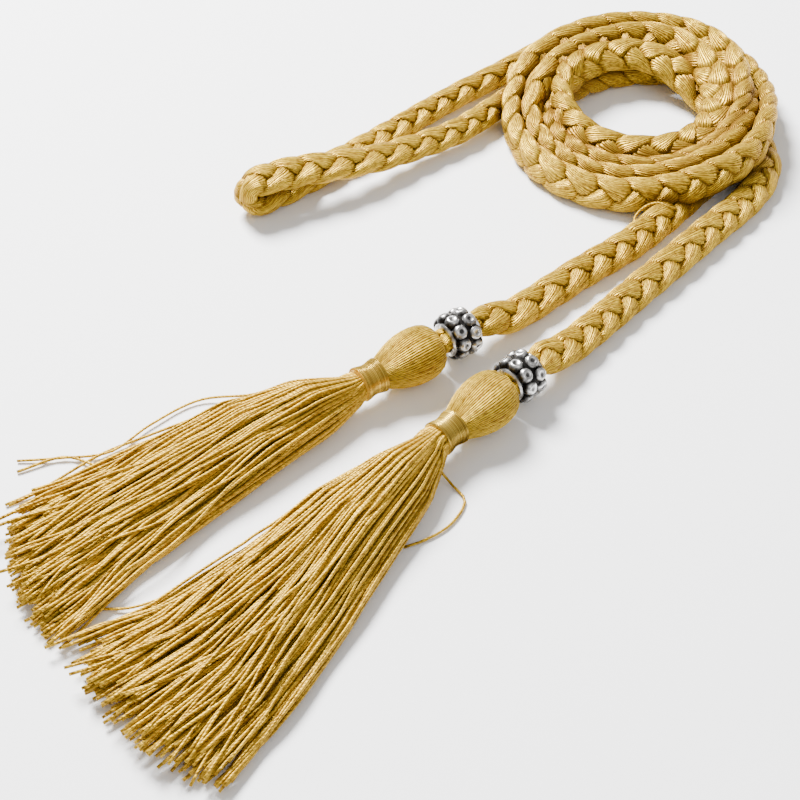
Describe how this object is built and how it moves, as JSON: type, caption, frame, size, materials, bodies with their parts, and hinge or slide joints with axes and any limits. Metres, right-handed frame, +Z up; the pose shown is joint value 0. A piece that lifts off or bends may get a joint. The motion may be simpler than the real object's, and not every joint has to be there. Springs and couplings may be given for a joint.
{
  "type": "braided cord belt with tassels",
  "caption": "Long gold plaited thread belt, folded in half and loosely coiled, its free ends each run through a silver bead into a bound thread tassel.",
  "frame": {"origin": "on the floor under the middle of the whole belt's box", "axes": "+Z up off the floor; +Y from the tassels towards the coil, the longest way across the layout; +X to the viewer's right"},
  "size_m": [0.2166, 0.2838, 0.0175],
  "materials": {
    "plait": "silky gold rayon thread, plaited",
    "tassel": "silky gold rayon thread, loose",
    "binding": "shiny fine gold thread, wound",
    "bead": "antique silver casting, bright on the high spots and black in the recesses"
  },
  "bodies": {
    "root": {"coil": "plait", "fold": "plait", "leg_1": "plait", "leg_2": "plait", "bead_1": "bead", "bead_2": "bead", "tassel_1": "tassel", "tassel_2": "tassel", "binding_1": "binding", "binding_2": "binding"}
  },
  "joints": []
}
